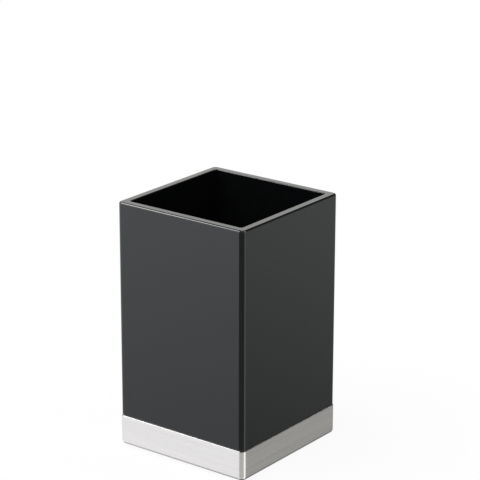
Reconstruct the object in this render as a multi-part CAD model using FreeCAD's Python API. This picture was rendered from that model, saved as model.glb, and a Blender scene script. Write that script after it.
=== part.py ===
import FreeCAD, Part
import math
import os

# Square upright desk cup: a thick-walled moulded body whose foot plugs into a drawn steel pan.
# Millimetres. +Z is up, and the origin is on the table under the middle of the cup.

# Moulded cup body
cup_width = 64.0              # outside, flat to flat
overall_height = 107.0        # table to rim
upright_corner_radius = 2.1   # outside upright corners
rim_wall = 3.6                # wall thickness where it meets the rim
cavity_draft = 0.5            # degrees that each inner wall leans in towards the floor
cavity_corner_radius = 1.1    # inside upright corners
floor_thickness = 3.6
floor_blend = 2.0             # where the inner walls run into the floor
rim_outer_round = 0.8
rim_inner_round = 0.3
seam_round = 0.5              # lower outside edge of the body, over the steel

# Steel pan, drawn from one sheet
sheet = 0.8
pan_height = 13.0
pan_bend_radius = 1.8         # outside, where the sides turn into the floor
pan_proud = 0.2               # how far the steel stands out past the body, each side
pan_lip_round = 0.4           # outside edge of the pan's rim
pan_lip_break = 0.1           # inside edge of the pan's rim

# How the foot of the body seats in the pan
foot_clearance = 0.25         # each side, foot of the body to the inside of the pan
seam_gap = 0.15               # pan rim to the shoulder of the body
crush_rib_width = 1.4
crush_rib_pitch = 30.0        # between the two ribs on each side
crush_rib_top_gap = 1.0       # rib end to the shoulder

# Foam bonding pad between the body and the pan
pad_width = 46.0
pad_thickness = 0.8
pad_corner_radius = 3.0
pad_pocket_depth = 0.3
pad_pocket_clearance = 0.4    # each side

# Round non-slip feet under the pan
grip_diameter = 9.0
grip_thickness = 1.0
grip_inset = 11.0             # outside of the pan to the middle of a foot
grip_bevel = 0.2              # lower edge of a foot

# A round on an edge takes at most this share of the wall that it is cut into
largest_round_share = 0.8

# Two places closer than this count as one
tolerance = 0.001

# Levels, from the table up
pan_underside = grip_thickness
pan_floor_top = pan_underside + sheet
pan_rim = pan_underside + pan_height
body_underside = pan_floor_top + pad_thickness - pad_pocket_depth
cavity_floor = body_underside + floor_thickness
shoulder = pan_rim + seam_gap

# Half widths and corner radii, from the outside in
body_half = cup_width / 2
pan_half = body_half + pan_proud
pan_corner = upright_corner_radius
pan_inner_half = pan_half - sheet
pan_inner_corner = pan_corner - sheet
pan_inner_bend = pan_bend_radius - sheet
foot_half = pan_inner_half - foot_clearance
foot_corner = pan_inner_corner - foot_clearance
cavity_half_at_rim = body_half - rim_wall
cavity_depth = overall_height - cavity_floor
cavity_half_at_floor = cavity_half_at_rim - cavity_depth * math.tan(math.radians(cavity_draft))


# A square wire with rounded corners, centred on the Z axis
def rounded_square(half, radius, level):
    straight = half - radius
    slant = radius * math.sqrt(0.5)
    edges = []
    for quarter in range(4):
        turn = FreeCAD.Rotation(FreeCAD.Vector(0, 0, 1), 90 * quarter)

        def at(x, y):
            return turn.multVec(FreeCAD.Vector(x, y, level))

        side = Part.LineSegment(at(half, -straight), at(half, straight))
        middle = at(straight + slant, straight + slant)
        corner = Part.Arc(at(half, straight), middle, at(straight, half))
        edges.append(side.toShape())
        edges.append(corner.toShape())
    return Part.Wire(edges)


# A rounded-square block between two levels
def block(half, radius, bottom, top):
    face = Part.Face(rounded_square(half, radius, bottom))
    return face.extrude(FreeCAD.Vector(0, 0, top - bottom))


# The edges that lie flat at a level, inside or outside a square of this half width
def level_edges(shape, level, inside=math.inf, outside=0.0):
    found = []
    for edge in shape.Edges:
        box = edge.BoundBox
        flat = box.ZLength < tolerance and abs(box.ZMin - level) < tolerance
        reach = max(abs(box.XMin), abs(box.XMax), abs(box.YMin), abs(box.YMax))
        if flat and outside <= reach <= inside:
            found.append(edge)
    return found


# The edges that climb at least this far
def upright_edges(shape, climb):
    return [edge for edge in shape.Edges if edge.BoundBox.ZLength > climb]


# A round limited by the wall that it is cut into
def fitted_round(radius, wall):
    return min(radius, wall * largest_round_share)


# The moulding core: a block whose sides lean in towards the floor
def cavity():
    low = cavity_half_at_floor
    high = cavity_half_at_rim
    core = Part.makeWedge(-low, 0, -low, -high, -high, low, cavity_depth, low, high, high)
    core.rotate(FreeCAD.Vector(0, 0, 0), FreeCAD.Vector(1, 0, 0), 90)
    core.translate(FreeCAD.Vector(0, 0, cavity_floor))
    core = core.makeFillet(floor_blend, level_edges(core, cavity_floor))
    return core.makeFillet(cavity_corner_radius, upright_edges(core, cavity_depth / 2))


# The reduced foot of the body, bevelled to clear the bend of the pan
def body_foot():
    foot = block(foot_half, foot_corner, body_underside, shoulder)
    bevel = fitted_round(pan_inner_bend, foot_corner)
    foot = foot.makeChamfer(bevel, level_edges(foot, body_underside))
    rib_bottom = body_underside + bevel
    rib_height = shoulder - crush_rib_top_gap - rib_bottom
    ribs = []
    for quarter in range(4):
        for place in (-crush_rib_pitch / 2, crush_rib_pitch / 2):
            corner = FreeCAD.Vector(foot_half, place - crush_rib_width / 2, rib_bottom)
            rib = Part.makeBox(foot_clearance, crush_rib_width, rib_height, corner)
            rib.rotate(FreeCAD.Vector(0, 0, 0), FreeCAD.Vector(0, 0, 1), 90 * quarter)
            ribs.append(rib)
    foot = foot.fuse(ribs)
    pocket_half = pad_width / 2 + pad_pocket_clearance
    pocket_corner = pad_corner_radius + pad_pocket_clearance
    pocket_top = body_underside + pad_pocket_depth
    return foot.cut(block(pocket_half, pocket_corner, body_underside, pocket_top))


def cup_body():
    outside = block(body_half, upright_corner_radius, shoulder, overall_height)
    rim_round = fitted_round(rim_outer_round, rim_wall)
    outside = outside.makeFillet(rim_round, level_edges(outside, overall_height))
    lower_round = fitted_round(seam_round, body_half - foot_half)
    outside = outside.makeFillet(lower_round, level_edges(outside, shoulder))
    body = outside.fuse(body_foot()).removeSplitter()
    body = body.cut(cavity())
    inner_round = fitted_round(rim_inner_round, rim_wall - rim_round)
    mouth = level_edges(body, overall_height, inside=cavity_half_at_rim + tolerance)
    return body.makeFillet(inner_round, mouth)


# One drawn sheet: the inner form is the outer one, a sheet's thickness in
def base_pan():
    outer = block(pan_half, pan_corner, pan_underside, pan_rim)
    outer = outer.makeFillet(pan_bend_radius, level_edges(outer, pan_underside))
    inner = block(pan_inner_half, pan_inner_corner, pan_floor_top, pan_rim)
    inner = inner.makeFillet(pan_inner_bend, level_edges(inner, pan_floor_top))
    pan = outer.cut(inner)
    mid_sheet = pan_half - sheet / 2
    lip_round = fitted_round(pan_lip_round, sheet - pan_lip_break)
    pan = pan.makeFillet(lip_round, level_edges(pan, pan_rim, outside=mid_sheet))
    return pan.makeFillet(pan_lip_break, level_edges(pan, pan_rim, inside=mid_sheet))


def bond_pad():
    return block(pad_width / 2, pad_corner_radius, pan_floor_top, pan_floor_top + pad_thickness)


def grip_foot(along_x, along_y):
    reach = pan_half - grip_inset
    centre = FreeCAD.Vector(along_x * reach, along_y * reach, 0)
    disc = Part.makeCylinder(grip_diameter / 2, grip_thickness, centre)
    return disc.makeChamfer(fitted_round(grip_bevel, grip_thickness), level_edges(disc, 0.0))


nodes = {
    "cup_body": cup_body(),
    "base_pan": base_pan(),
    "bond_pad": bond_pad(),
    "grip_foot_front_left": grip_foot(-1, -1),
    "grip_foot_front_right": grip_foot(1, -1),
    "grip_foot_rear_left": grip_foot(-1, 1),
    "grip_foot_rear_right": grip_foot(1, 1),
}

os.makedirs("parts", exist_ok=True)
for name, shape in nodes.items():
    shape.exportStep(os.path.join("parts", name + ".step"))
    print(name, len(shape.Solids), shape.isValid(), round(shape.Volume, 1))
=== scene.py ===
import math

import bpy
from mathutils import Matrix, Vector

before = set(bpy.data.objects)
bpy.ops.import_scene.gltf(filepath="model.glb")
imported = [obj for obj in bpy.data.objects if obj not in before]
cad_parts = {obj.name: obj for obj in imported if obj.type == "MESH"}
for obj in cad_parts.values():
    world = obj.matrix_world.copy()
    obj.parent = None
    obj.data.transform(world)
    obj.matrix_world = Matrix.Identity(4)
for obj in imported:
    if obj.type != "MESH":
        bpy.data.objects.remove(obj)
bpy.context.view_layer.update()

print("frame loaded:", len(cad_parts), "pieces")


# Node helpers, shared by every finish

def newMaterial(name):
    material = bpy.data.materials.new(name)
    material.use_nodes = True
    tree = material.node_tree
    return material, tree, tree.nodes["Principled BSDF"]


def feed(tree, socket, value):
    # a plain value is typed into the socket, anything else is wired to it
    if isinstance(value, bpy.types.NodeSocket):
        tree.links.new(value, socket)
    else:
        socket.default_value = value


def addNode(tree, kind, **settings):
    # sockets go by their names, the rest are the node's own properties
    node = tree.nodes.new(kind)
    for key, value in settings.items():
        if key in node.inputs:
            feed(tree, node.inputs[key], value)
        else:
            setattr(node, key, value)
    return node


def compute(tree, operation, *values):
    node = addNode(tree, "ShaderNodeMath", operation=operation)
    for index, value in enumerate(values):
        feed(tree, node.inputs[index], value)
    return node.outputs[0]


def remap(tree, value, span, result=(0, 1)):
    # the ends of the span become the two results, and beyond them it stays level
    node = addNode(tree, "ShaderNodeMapRange")
    for index, setting in enumerate((value, *span, *result)):
        feed(tree, node.inputs[index], setting)
    return node.outputs["Result"]


def mixValues(tree, factor, first, second):
    node = addNode(tree, "ShaderNodeMix", data_type="FLOAT")
    for index, setting in ((0, factor), (2, first), (3, second)):
        feed(tree, node.inputs[index], setting)
    return node.outputs[0]


def mixVectors(tree, factor, first, second):
    node = addNode(tree, "ShaderNodeMix", data_type="VECTOR")
    for index, setting in ((0, factor), (4, first), (5, second)):
        feed(tree, node.inputs[index], setting)
    return node.outputs[1]


def mixColours(tree, factor, first, second, blend="MIX"):
    node = addNode(tree, "ShaderNodeMix", data_type="RGBA", blend_type=blend)
    for index, setting in ((0, factor), (6, first), (7, second)):
        feed(tree, node.inputs[index], setting)
    return node.outputs[2]


def objectPoint(tree, scale=(1, 1, 1)):
    # place on the piece in metres, times a scale along each axis
    where = addNode(tree, "ShaderNodeTexCoord")
    return addNode(tree, "ShaderNodeMapping", Vector=where.outputs["Object"], Scale=scale).outputs[0]


def noise(tree, point, pattern):
    # a pattern gives the noise's Scale, Detail and Roughness
    return addNode(tree, "ShaderNodeTexNoise", Vector=point, **pattern).outputs["Fac"]


def bump(tree, height, depth):
    # depth in metres between the lowest and the highest part of the pattern
    return addNode(tree, "ShaderNodeBump", Strength=1.0, Distance=depth, Height=height).outputs["Normal"]


def dress(nodeName, material):
    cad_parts[nodeName].material_slots[0].material = material


# Cup body: moulded in black and polished by the tool, with the faint waves and dust of a real moulding

cupGloss = {
    "ior": 1.6,
    "colour": (0.0042, 0.0047, 0.0052, 1),
    "filmColour": (0.0058, 0.0063, 0.0068, 1),     # where a film of fine dust lies
    "film": {"Scale": 800, "Detail": 3, "Roughness": 0.6},    # scales count patches per metre
    "filmSpan": (0.38, 0.62),                      # of the noise, from clean to filmed
    "roughness": (0.04, 0.09),                     # best polished and haziest
    "haze": {"Scale": 70, "Detail": 4, "Roughness": 0.6},
    "clothMarks": {"Scale": 1.0, "Detail": 3, "Roughness": 0.6},
    "clothScale": (260, 260, 40),                  # drawn out up and down
    "clothShare": 0.3,
    "hazeSpan": (0.35, 0.68),
    "waves": {"Scale": 55, "Detail": 1, "Roughness": 0.4},
    "waveDepth": 0.0000012,                        # metres
    "dustScale": 215,
    "dustSpan": (0.015, 0.03),                     # a speck's solid middle and its edge, in dust cells
    "dustRoughness": 0.5,
    "dustColour": (0.11, 0.11, 0.105, 1),
}


def cupGlossBlack():
    material, tree, shader = newMaterial("cupGlossBlack")
    shader.inputs["IOR"].default_value = cupGloss["ior"]
    point = objectPoint(tree)
    haze = noise(tree, point, cupGloss["haze"])
    wiped = noise(tree, objectPoint(tree, cupGloss["clothScale"]), cupGloss["clothMarks"])
    dullness = mixValues(tree, cupGloss["clothShare"], haze, wiped)
    rough = remap(tree, dullness, cupGloss["hazeSpan"], cupGloss["roughness"])
    specks = addNode(tree, "ShaderNodeTexVoronoi", Vector=point, Scale=cupGloss["dustScale"])
    dust = remap(tree, specks.outputs["Distance"], cupGloss["dustSpan"], (1, 0))
    feed(tree, shader.inputs["Roughness"], mixValues(tree, dust, rough, cupGloss["dustRoughness"]))
    film = remap(tree, noise(tree, point, cupGloss["film"]), cupGloss["filmSpan"])
    clean = mixColours(tree, film, cupGloss["colour"], cupGloss["filmColour"])
    feed(tree, shader.inputs["Base Color"], mixColours(tree, dust, clean, cupGloss["dustColour"]))
    waves = noise(tree, point, cupGloss["waves"])
    feed(tree, shader.inputs["Normal"], bump(tree, waves, cupGloss["waveDepth"]))
    return material


dress("cup_body", cupGlossBlack())
print("cup body dressed")


# Steel pan: ground with a fine grain, level on its sides and along X underneath, duller at its cut rim

panSteel = {
    "colour": (0.775, 0.74, 0.722, 1),
    "grainShade": 0.925,            # darkest line of the grain, as a share of the colour
    "shadeSpan": (0.35, 0.62),      # of the grain, from its darkest line to the full colour
    "roughness": (0.27, 0.30),
    "roughSpan": (0.35, 0.65),
    "anisotropy": 0.75,
    "lineLength": 0.022,            # metres
    "lineWidth": 0.00022,
    "lineDepth": 0.0000003,
    "fineLines": {"Scale": 1.0, "Detail": 3, "Roughness": 0.65},
    "coarseLines": {"Scale": 0.26, "Detail": 2, "Roughness": 0.5},
    "coarseShare": 0.65,
    "floorSpan": (0.65, 0.75),      # how far a face looks up or down, from the sides to the flat floor
    "rimEdge": (0.0135, 0.0138),    # heights between which the sheet turns into its cut edge
    "rimColour": (0.47, 0.46, 0.45, 1),
    "rimRoughness": 0.42,
}


def panFloorShare(tree):
    # 0 on the sides of the pan, 1 on its flat floor
    facing = addNode(tree, "ShaderNodeNewGeometry")
    axes = addNode(tree, "ShaderNodeSeparateXYZ", Vector=facing.outputs["Normal"])
    return remap(tree, compute(tree, "ABSOLUTE", axes.outputs["Z"]), panSteel["floorSpan"])


def panBrushedSteel():
    material, tree, shader = newMaterial("panBrushedSteel")
    shader.inputs["Metallic"].default_value = 1.0
    shader.inputs["Anisotropic"].default_value = panSteel["anisotropy"]
    floorShare = panFloorShare(tree)
    feed(tree, shader.inputs["Tangent"], mixVectors(tree, floorShare, (0, 0, 1), (0, 1, 0)))
    along = 1 / panSteel["lineLength"]
    across = 1 / panSteel["lineWidth"]
    onSides = objectPoint(tree, (along, along, across))
    onFloor = objectPoint(tree, (along, across, along))
    point = mixVectors(tree, floorShare, onSides, onFloor)
    fine = noise(tree, point, panSteel["fineLines"])
    coarse = noise(tree, point, panSteel["coarseLines"])
    streaks = mixValues(tree, panSteel["coarseShare"], fine, coarse)
    place = addNode(tree, "ShaderNodeSeparateXYZ", Vector=objectPoint(tree))
    atRim = remap(tree, place.outputs["Z"], panSteel["rimEdge"])
    rough = remap(tree, streaks, panSteel["roughSpan"], panSteel["roughness"])
    feed(tree, shader.inputs["Roughness"], mixValues(tree, atRim, rough, panSteel["rimRoughness"]))
    dark = [channel * panSteel["grainShade"] for channel in panSteel["colour"][:3]]
    shade = remap(tree, streaks, panSteel["shadeSpan"])
    sheet = mixColours(tree, shade, (*dark, 1), panSteel["colour"])
    feed(tree, shader.inputs["Base Color"], mixColours(tree, atRim, sheet, panSteel["rimColour"]))
    feed(tree, shader.inputs["Normal"], bump(tree, streaks, panSteel["lineDepth"]))
    return material


dress("base_pan", panBrushedSteel())
print("steel pan dressed")


# Non-slip feet: matt rubber with a fine moulded grain and a little picked-up dust

footGrip = {
    "colour": (0.03, 0.03, 0.03, 1),
    "dusty": (0.075, 0.073, 0.07, 1),
    "dust": {"Scale": 420, "Detail": 4, "Roughness": 0.65},
    "dustSpan": (0.48, 0.72),
    "mostDust": 0.8,
    "roughness": (0.62, 0.85),      # clean and dustiest
    "grainScale": 2600,
    "grainDepth": 0.00003,
}


def footRubber():
    material, tree, shader = newMaterial("footRubber")
    point = objectPoint(tree)
    cells = addNode(tree, "ShaderNodeTexVoronoi", Vector=point, Scale=footGrip["grainScale"])
    dustRange = (0, footGrip["mostDust"])
    dust = remap(tree, noise(tree, point, footGrip["dust"]), footGrip["dustSpan"], dustRange)
    feed(tree, shader.inputs["Base Color"], mixColours(tree, dust, footGrip["colour"], footGrip["dusty"]))
    feed(tree, shader.inputs["Roughness"], remap(tree, dust, dustRange, footGrip["roughness"]))
    feed(tree, shader.inputs["Normal"], bump(tree, cells.outputs["Distance"], footGrip["grainDepth"]))
    return material


footFinish = footRubber()
for corner in ("front_left", "front_right", "rear_left", "rear_right"):
    dress("grip_foot_" + corner, footFinish)
print("feet dressed")


# Foam tape between body and pan: pale closed cells, their sunken middles darkened with painted shade

padFoam = {
    "colour": (0.85, 0.85, 0.82, 1),
    "roughness": 0.9,
    # painted shade: the colour of each cell's sunken middle
    "paintedHollowShade": (0.62, 0.62, 0.58, 1),
    "cellScale": 1800,
    "cellSpan": (0.05, 0.6),        # from the middle of a cell to its wall
    "cellDepth": 0.00008,
}


def padFoamTape():
    material, tree, shader = newMaterial("padFoamTape")
    shader.inputs["Roughness"].default_value = padFoam["roughness"]
    cells = addNode(tree, "ShaderNodeTexVoronoi", Vector=objectPoint(tree), Scale=padFoam["cellScale"])
    wall = remap(tree, cells.outputs["Distance"], padFoam["cellSpan"])
    # painted shade darkens each cell's sunken middle, where the bump sinks it
    feed(tree, shader.inputs["Base Color"], mixColours(tree, wall, padFoam["paintedHollowShade"], padFoam["colour"]))
    feed(tree, shader.inputs["Normal"], bump(tree, wall, padFoam["cellDepth"]))
    return material


dress("bond_pad", padFoamTape())
print("bonding pad dressed")


# Camera, where the photograph was taken from

photoView = {
    "azimuth": 37.61,
    "elevation": 20.79,
    "distance": 0.8876,            # metres, from the aim point
    "aimHeight": 0.051,            # the aim point lies on the cup's axis
    "aimPixel": (228.25, 326.4),   # where the aim point shows
    "framePixels": 480,
    "focalPixels": 2142.0,
    "sensor": 36.0,                # millimetres
    "nearest": 0.01,               # nothing closer than this shows
}


def addCamera():
    turn = math.radians(photoView["azimuth"])
    rise = math.radians(photoView["elevation"])
    back = Vector((math.sin(turn) * math.cos(rise), -math.cos(turn) * math.cos(rise), math.sin(rise)))
    right = Vector((math.cos(turn), math.sin(turn), 0))
    up = back.cross(right)
    aimed = Matrix((right, up, back)).transposed()
    half = photoView["framePixels"] / 2
    aimX, aimY = photoView["aimPixel"]
    offAxis = Vector((aimX - half, half - aimY, -photoView["focalPixels"]))
    swing = Vector((0, 0, -1)).rotation_difference(offAxis).to_matrix()
    place = Vector((0, 0, photoView["aimHeight"])) + back * photoView["distance"]
    data = bpy.data.cameras.new("photoCamera")
    data.sensor_width = photoView["sensor"]
    data.lens = photoView["focalPixels"] / photoView["framePixels"] * photoView["sensor"]
    data.clip_start = photoView["nearest"]
    camera = bpy.data.objects.new("photoCamera", data)
    camera.matrix_world = Matrix.Translation(place) @ (aimed @ swing.transposed()).to_4x4()
    bpy.context.scene.collection.objects.link(camera)
    bpy.context.scene.camera = camera


addCamera()
print("camera placed")


# Room that the gloss reflects: pale walls and table, and an unlit side where the camera stands

# levels of light on the upper walls, each at its azimuth in degrees, turning from +X to +Y
upperWalls = [(-180, 1.2), (-128, 1.2), (-121, 1.5), (-117, 1.5), (-111, 0.45), (-14, 0.45), (-3, 1.5),
              (26, 1.5), (43, 0.06), (118, 0.04), (124, 1.2), (180, 1.2)]

studioRoom = {
    # a row's height is the sine of its elevation
    "rows": [
        {"height": -0.90, "levels": [(-180, 0.1), (180, 0.1)]},
        {"height": -0.60, "levels": [(-180, 1.2), (-128, 1.17), (-123, 2.3), (-118, 2.3), (-111, 1.2),
                                     (-14, 1.2), (-6, 1.9), (30, 1.9), (42, 0.75), (52, 0.37), (60, 0.2),
                                     (116, 0.2), (125, 0.9), (180, 1.2)]},
        {"height": -0.47, "levels": [(-180, 1.2), (-128, 1.17), (-123, 2.3), (-118, 2.3), (-111, 1.2),
                                     (-14, 1.2), (-6, 1.9), (30, 1.9), (42, 0.95), (51, 0.55), (60, 0.31),
                                     (95, 0.4), (125, 0.9), (180, 1.2)]},
        {"height": -0.41, "levels": [(-180, 0.68), (-124, 0.68), (-119, 0.2), (-9, 0.2), (-1, 1.0),
                                     (26, 1.0), (41, 0.235), (95, 0.34), (125, 0.8), (180, 0.68)]},
        {"height": -0.29, "levels": [(-180, 1.07), (-124, 1.07), (-119, 0.2), (-9, 0.2), (-1, 0.95),
                                     (26, 0.95), (41, 0.575), (95, 0.6), (125, 1.0), (180, 1.07)]},
        {"height": -0.20, "levels": [(-180, 1.25), (-120, 1.4), (-114, 0.3), (-12, 0.3), (-3, 1.0),
                                     (26, 1.0), (42, 0.42), (95, 0.5), (125, 1.1), (180, 1.25)]},
        {"height": 0.21, "levels": [(-180, 1.4), (-128, 1.4), (-121, 1.5), (-117, 1.5), (-111, 0.45),
                                    (-14, 0.45), (-3, 1.5), (26, 1.5), (43, 0.5), (95, 0.45), (118, 0.3),
                                    (124, 1.2), (150, 1.2), (180, 1.4)]},
        {"height": 0.31, "levels": upperWalls},
        {"height": 0.37, "levels": upperWalls},
        {"height": 0.44, "levels": [(-180, 0.2), (-124, 0.2), (-119, 0.1), (90, 0.04), (180, 0.1)]},
        {"height": 0.84, "levels": [(-180, 0.1), (180, 0.1)]},
        {"height": 0.91, "levels": [(-180, 1.0), (180, 1.0)]},
    ],
    # faint cast of the walls, by azimuth
    "casts": [(-180, (0.97, 1.0, 1.035)), (-110, (0.97, 1.0, 1.035)), (-30, (0.98, 1.008, 0.99)),
              (80, (0.98, 1.008, 0.99)), (125, (1.0, 1.01, 0.96)), (180, (0.97, 1.0, 1.035))],
    "brightest": 2.3,         # a ramp holds up to 1, so levels and casts are shares of the highest
    "strongestCast": 1.05,
    "fill": 0.5,              # what matt surfaces get from all round
}


def greyStops(row):
    return [(azimuth, (level / studioRoom["brightest"],) * 3) for azimuth, level in row["levels"]]


def azimuthRamp(tree, turn, stops):
    ramp = addNode(tree, "ShaderNodeValToRGB", Fac=turn)
    elements = ramp.color_ramp.elements
    while len(elements) < len(stops):
        elements.new(1)
    for element, (azimuth, colour) in zip(elements, stops):
        element.position = (azimuth + 180) / 360
        element.color = (*colour, 1)
    return ramp.outputs["Color"]


def addRoom():
    world = bpy.data.worlds.new("studioRoom")
    bpy.context.scene.world = world
    world.use_nodes = True
    tree = world.node_tree
    tree.nodes.clear()
    where = addNode(tree, "ShaderNodeTexCoord")
    axes = addNode(tree, "ShaderNodeSeparateXYZ", Vector=where.outputs["Generated"])
    heading = compute(tree, "ARCTAN2", axes.outputs["Y"], axes.outputs["X"])
    turn = remap(tree, heading, (-math.pi, math.pi))
    rows = studioRoom["rows"]
    walls = azimuthRamp(tree, turn, greyStops(rows[0]))
    for lower, upper in zip(rows, rows[1:]):
        climb = remap(tree, axes.outputs["Z"], (lower["height"], upper["height"]))
        walls = mixColours(tree, climb, walls, azimuthRamp(tree, turn, greyStops(upper)))
    strongest = studioRoom["strongestCast"]
    casts = [(azimuth, [channel / strongest for channel in cast]) for azimuth, cast in studioRoom["casts"]]
    walls = mixColours(tree, 1.0, walls, azimuthRamp(tree, turn, casts), "MULTIPLY")
    strength = studioRoom["brightest"] * strongest
    reflected = addNode(tree, "ShaderNodeBackground", Color=walls, Strength=strength)
    white = addNode(tree, "ShaderNodeBackground", Color=(1, 1, 1, 1), Strength=1.0)
    fill = addNode(tree, "ShaderNodeBackground", Color=(1, 1, 1, 1), Strength=studioRoom["fill"])
    ray = addNode(tree, "ShaderNodeLightPath")
    shine = compute(tree, "MAXIMUM", ray.outputs["Is Glossy Ray"], ray.outputs["Is Transmission Ray"])
    lighting = addNode(tree, "ShaderNodeMixShader", Fac=shine)
    feed(tree, lighting.inputs[1], fill.outputs[0])
    feed(tree, lighting.inputs[2], reflected.outputs[0])
    whole = addNode(tree, "ShaderNodeMixShader", Fac=ray.outputs["Is Camera Ray"])
    feed(tree, whole.inputs[1], lighting.outputs[0])
    feed(tree, whole.inputs[2], white.outputs[0])
    addNode(tree, "ShaderNodeOutputWorld", Surface=whole.outputs[0])


addRoom()
print("room painted")


# Lamps: softboxes for the bright lines on the gloss, and a soft sun for what is matt

softboxes = {
    "keySoftbox": {"azimuth": -148, "elevation": 45, "distance": 1.0, "size": (0.44, 0.36), "radiance": 10.3},
    "sideSoftbox": {"azimuth": 20, "elevation": 43, "distance": 1.0, "size": (0.36, 0.30), "radiance": 8.5},
}

softSun = {"azimuth": -130, "elevation": 60, "distance": 1.0, "angle": 50, "strength": 1.82}


def aim(lamp, settings):
    turn = math.radians(settings["azimuth"])
    rise = math.radians(settings["elevation"])
    toLamp = Vector((math.cos(turn) * math.cos(rise), math.sin(turn) * math.cos(rise), math.sin(rise)))
    lamp.location = toLamp * settings["distance"]
    lamp.rotation_mode = "QUATERNION"
    lamp.rotation_quaternion = toLamp.to_track_quat("Z", "Y")
    bpy.context.scene.collection.objects.link(lamp)


def addSoftbox(name, settings):
    data = bpy.data.lights.new(name, "AREA")
    data.shape = "RECTANGLE"
    data.size, data.size_y = settings["size"]
    data.energy = settings["radiance"] * math.pi * data.size * data.size_y
    lamp = bpy.data.objects.new(name, data)
    aim(lamp, settings)
    lamp.visible_camera = False
    lamp.visible_diffuse = False


def addSoftSun():
    data = bpy.data.lights.new("softSun", "SUN")
    data.angle = math.radians(softSun["angle"])
    data.energy = softSun["strength"]
    lamp = bpy.data.objects.new("softSun", data)
    aim(lamp, softSun)
    lamp.visible_glossy = False


for name, settings in softboxes.items():
    addSoftbox(name, settings)
addSoftSun()
print("lamps hung")


# Floor: white to the camera, darkened only by the cup's own soft shadow

floorWhite = {
    "glow": 0.92,           # as the camera sees it
    "shadowShare": 0.08,    # the part of it that a shadow can darken
    "colour": (0.85, 0.85, 0.85, 1),
    "roughness": 0.9,
    "reach": 20,            # metres
    "below": 0.00002,       # clear of the undersides of the feet
}


def addFloor():
    bpy.ops.mesh.primitive_plane_add(size=floorWhite["reach"], location=(0, 0, -floorWhite["below"]))
    floor = bpy.context.object
    floor.name = "studioFloor"
    material, tree, matt = newMaterial("studioFloorWhite")
    matt.inputs["Base Color"].default_value = floorWhite["colour"]
    matt.inputs["Roughness"].default_value = floorWhite["roughness"]
    matt.inputs["Specular IOR Level"].default_value = 0.0
    share = floorWhite["shadowShare"]
    shaded = addNode(tree, "ShaderNodeBsdfDiffuse", Color=(share, share, share, 1))
    glow = addNode(tree, "ShaderNodeEmission", Color=(1, 1, 1, 1), Strength=floorWhite["glow"])
    seen = addNode(tree, "ShaderNodeAddShader")
    feed(tree, seen.inputs[0], shaded.outputs[0])
    feed(tree, seen.inputs[1], glow.outputs[0])
    ray = addNode(tree, "ShaderNodeLightPath")
    surface = addNode(tree, "ShaderNodeMixShader", Fac=ray.outputs["Is Camera Ray"])
    feed(tree, surface.inputs[1], matt.outputs[0])
    feed(tree, surface.inputs[2], seen.outputs[0])
    side = addNode(tree, "ShaderNodeNewGeometry")
    clear = addNode(tree, "ShaderNodeBsdfTransparent")
    oneWay = addNode(tree, "ShaderNodeMixShader", Fac=side.outputs["Backfacing"])    # seen through from below
    feed(tree, oneWay.inputs[1], surface.outputs[0])
    feed(tree, oneWay.inputs[2], clear.outputs[0])
    feed(tree, tree.nodes["Material Output"].inputs["Surface"], oneWay.outputs[0])
    floor.data.materials.append(material)
    floor.visible_glossy = False


addFloor()
bpy.context.scene.view_settings.view_transform = "Standard"
print("floor laid")
